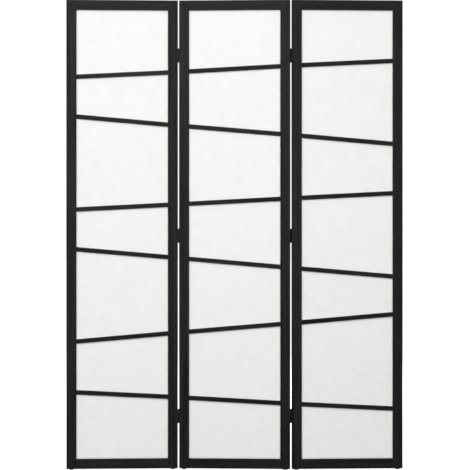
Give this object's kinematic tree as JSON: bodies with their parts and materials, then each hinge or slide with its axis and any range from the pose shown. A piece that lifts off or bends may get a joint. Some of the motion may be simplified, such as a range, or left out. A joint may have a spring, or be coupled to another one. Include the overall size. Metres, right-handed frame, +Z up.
{
  "type": "folding room divider screen",
  "caption": "Folding room divider with black wooden frames, white non-woven sheets and slanting slats, its outer panels hinged to fold opposite ways.",
  "frame": {"origin": "centre of the footprint of the screen as it stands in its shallow zigzag, on the floor under the glides", "axes": "+Z up; +X along the screen, to the right seen from its front; +Y from the front, where the slats are, to the back"},
  "size_m": [1.2186, 0.0354, 1.7],
  "materials": {
    "black_wood": "satin black paint over planed softwood",
    "non_woven_sheet": "matte white bonded non-woven",
    "hinge_steel": "satin black oxide",
    "glide_plastic": "matte black moulding"
  },
  "bodies": {
    "middle_panel": {"middle_stile_left": "black_wood", "middle_glide_left": "glide_plastic", "middle_stile_right": "black_wood", "middle_glide_right": "glide_plastic", "middle_rail_top": "black_wood", "middle_rail_bottom": "black_wood", "middle_slat_1": "black_wood", "middle_slat_2": "black_wood", "middle_slat_3": "black_wood", "middle_slat_4": "black_wood", "middle_slat_5": "black_wood", "middle_slat_6": "black_wood", "middle_sheet": "non_woven_sheet", "middle_bead": "black_wood", "left_hinge_top_leaf_fixed": "hinge_steel", "left_hinge_top_pin": "hinge_steel", "left_hinge_centre_leaf_fixed": "hinge_steel", "left_hinge_centre_pin": "hinge_steel", "left_hinge_bottom_leaf_fixed": "hinge_steel", "left_hinge_bottom_pin": "hinge_steel", "right_hinge_top_leaf_fixed": "hinge_steel", "right_hinge_top_pin": "hinge_steel", "right_hinge_centre_leaf_fixed": "hinge_steel", "right_hinge_centre_pin": "hinge_steel", "right_hinge_bottom_leaf_fixed": "hinge_steel", "right_hinge_bottom_pin": "hinge_steel"},
    "left_panel": {"left_stile_left": "black_wood", "left_glide_left": "glide_plastic", "left_stile_right": "black_wood", "left_glide_right": "glide_plastic", "left_rail_top": "black_wood", "left_rail_bottom": "black_wood", "left_slat_1": "black_wood", "left_slat_2": "black_wood", "left_slat_3": "black_wood", "left_slat_4": "black_wood", "left_slat_5": "black_wood", "left_slat_6": "black_wood", "left_sheet": "non_woven_sheet", "left_bead": "black_wood", "left_hinge_top_leaf_swinging": "hinge_steel", "left_hinge_centre_leaf_swinging": "hinge_steel", "left_hinge_bottom_leaf_swinging": "hinge_steel"},
    "right_panel": {"right_stile_left": "black_wood", "right_glide_left": "glide_plastic", "right_stile_right": "black_wood", "right_glide_right": "glide_plastic", "right_rail_top": "black_wood", "right_rail_bottom": "black_wood", "right_slat_1": "black_wood", "right_slat_2": "black_wood", "right_slat_3": "black_wood", "right_slat_4": "black_wood", "right_slat_5": "black_wood", "right_slat_6": "black_wood", "right_sheet": "non_woven_sheet", "right_bead": "black_wood", "right_hinge_top_leaf_swinging": "hinge_steel", "right_hinge_centre_leaf_swinging": "hinge_steel", "right_hinge_bottom_leaf_swinging": "hinge_steel"}
  },
  "joints": [
    {"name": "left_fold", "type": "hinge", "parent": "middle_panel", "child": "left_panel", "pos_m": [-0.20383, -0.00311, 0.8465], "axis": [0, 0, 1], "range_deg": [-5, 175]},
    {"name": "right_fold", "type": "hinge", "parent": "middle_panel", "child": "right_panel", "pos_m": [0.20383, 0.00311, 0.8465], "axis": [0, 0, 1], "range_deg": [-5, 175]}
  ]
}
